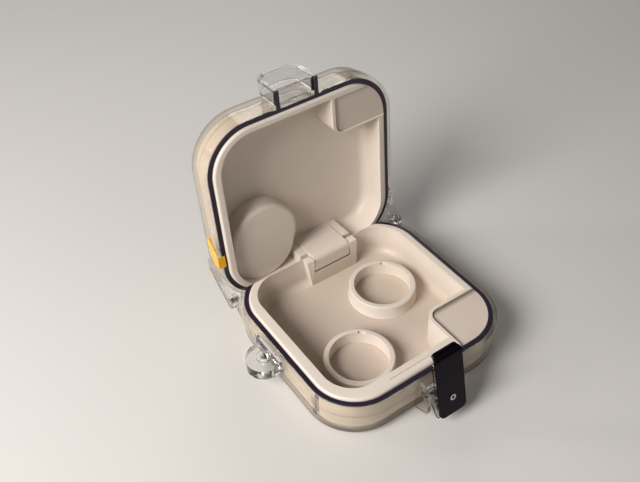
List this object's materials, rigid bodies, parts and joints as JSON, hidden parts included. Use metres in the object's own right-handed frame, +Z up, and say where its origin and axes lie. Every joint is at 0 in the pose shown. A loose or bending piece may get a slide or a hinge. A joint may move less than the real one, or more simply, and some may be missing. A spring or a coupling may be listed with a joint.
{
  "type": "contact lens carry case",
  "caption": "Hinged pocket case for contact lenses: a cream clamshell with ring sockets inside a clear outer case with black rims, a sprung latch and a lanyard eye.",
  "frame": {"origin": "centre of the base's underside, below the centre of the tray's rim", "axes": "+Z up from the table, +X along the hinge axis, -Y towards the latch; the lid is open at the back"},
  "size_m": [0.0833, 0.0982, 0.0842],
  "materials": {
    "cream_plastic": "fine satin moulding",
    "grey_plastic": "satin",
    "clear_plastic": "clear, polished",
    "black_plastic": "glossy",
    "steel": "bright",
    "orange_plastic": "glossy"
  },
  "bodies": {
    "base": {"base_cover": "clear_plastic", "base_rim_band": "black_plastic", "base_tray": "cream_plastic", "lens_ring_front": "cream_plastic", "lens_ring_back": "cream_plastic", "base_corner_plate": "grey_plastic", "lanyard_eye": "clear_plastic", "inner_hinge_pin": "steel", "hinge_pin_left": "steel", "hinge_pin_right": "steel", "latch_pin": "steel", "latch_spring": "steel"},
    "lid": {"lid_cover": "clear_plastic", "lid_rim_band": "black_plastic", "lid_liner": "cream_plastic", "hinge_block": "cream_plastic", "lid_corner_plate": "grey_plastic", "catch_bracket": "clear_plastic", "orange_tab": "orange_plastic"},
    "latch": {"latch_plate": "black_plastic", "latch_carrier": "clear_plastic", "latch_rivet": "steel"}
  },
  "joints": [
    {"name": "lid_hinge", "type": "hinge", "parent": "base", "child": "lid", "pos_m": [0, 0.0295, 0.0142], "axis": [1, 0, 0], "range_deg": [0, 94.2]},
    {"name": "latch_pivot", "type": "hinge", "parent": "base", "child": "latch", "pos_m": [0, -0.0396, 0.0122], "axis": [1, 0, 0], "range_deg": [0, 20], "stiffness_Nm_per_rad": 0.004, "springref_deg": -20.05, "deforming": ["latch_spring"]}
  ]
}
